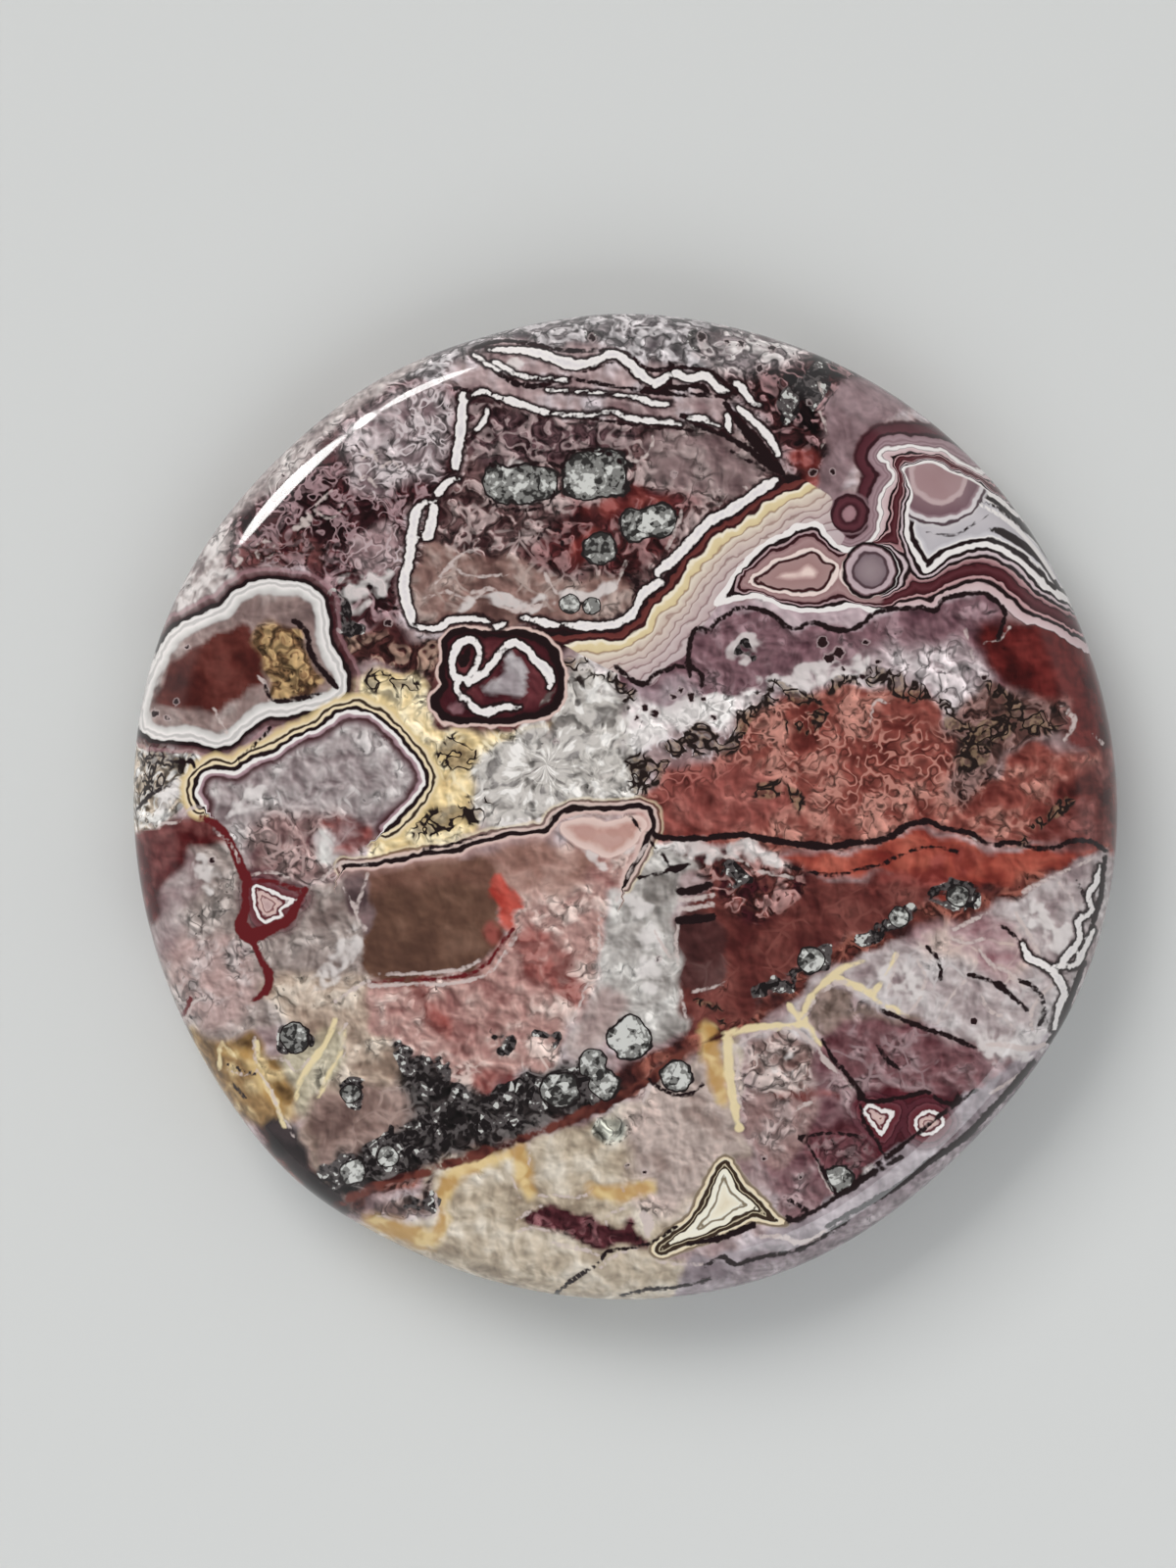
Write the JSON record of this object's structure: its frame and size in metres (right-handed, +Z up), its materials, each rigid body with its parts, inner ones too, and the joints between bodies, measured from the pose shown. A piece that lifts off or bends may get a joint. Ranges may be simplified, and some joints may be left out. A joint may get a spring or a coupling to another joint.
{
  "type": "crazy lace agate cabochon",
  "caption": "Nearly round polished agate stone with a low domed top, rounded shoulders and a gently curved back that rests on a flat spot.",
  "frame": {"origin": "middle of the stone's footprint, on the surface that it rests on", "axes": "+Z up through the dome, +Y towards the top edge of the face as it is shown, +X towards its right edge"},
  "size_m": [0.0522, 0.0522, 0.0078],
  "materials": {
    "polished_agate": "high polish, patterned in maroon, brick red, lilac grey, cream and ochre"
  },
  "bodies": {
    "root": {"agate_cabochon": "polished_agate"}
  },
  "joints": []
}
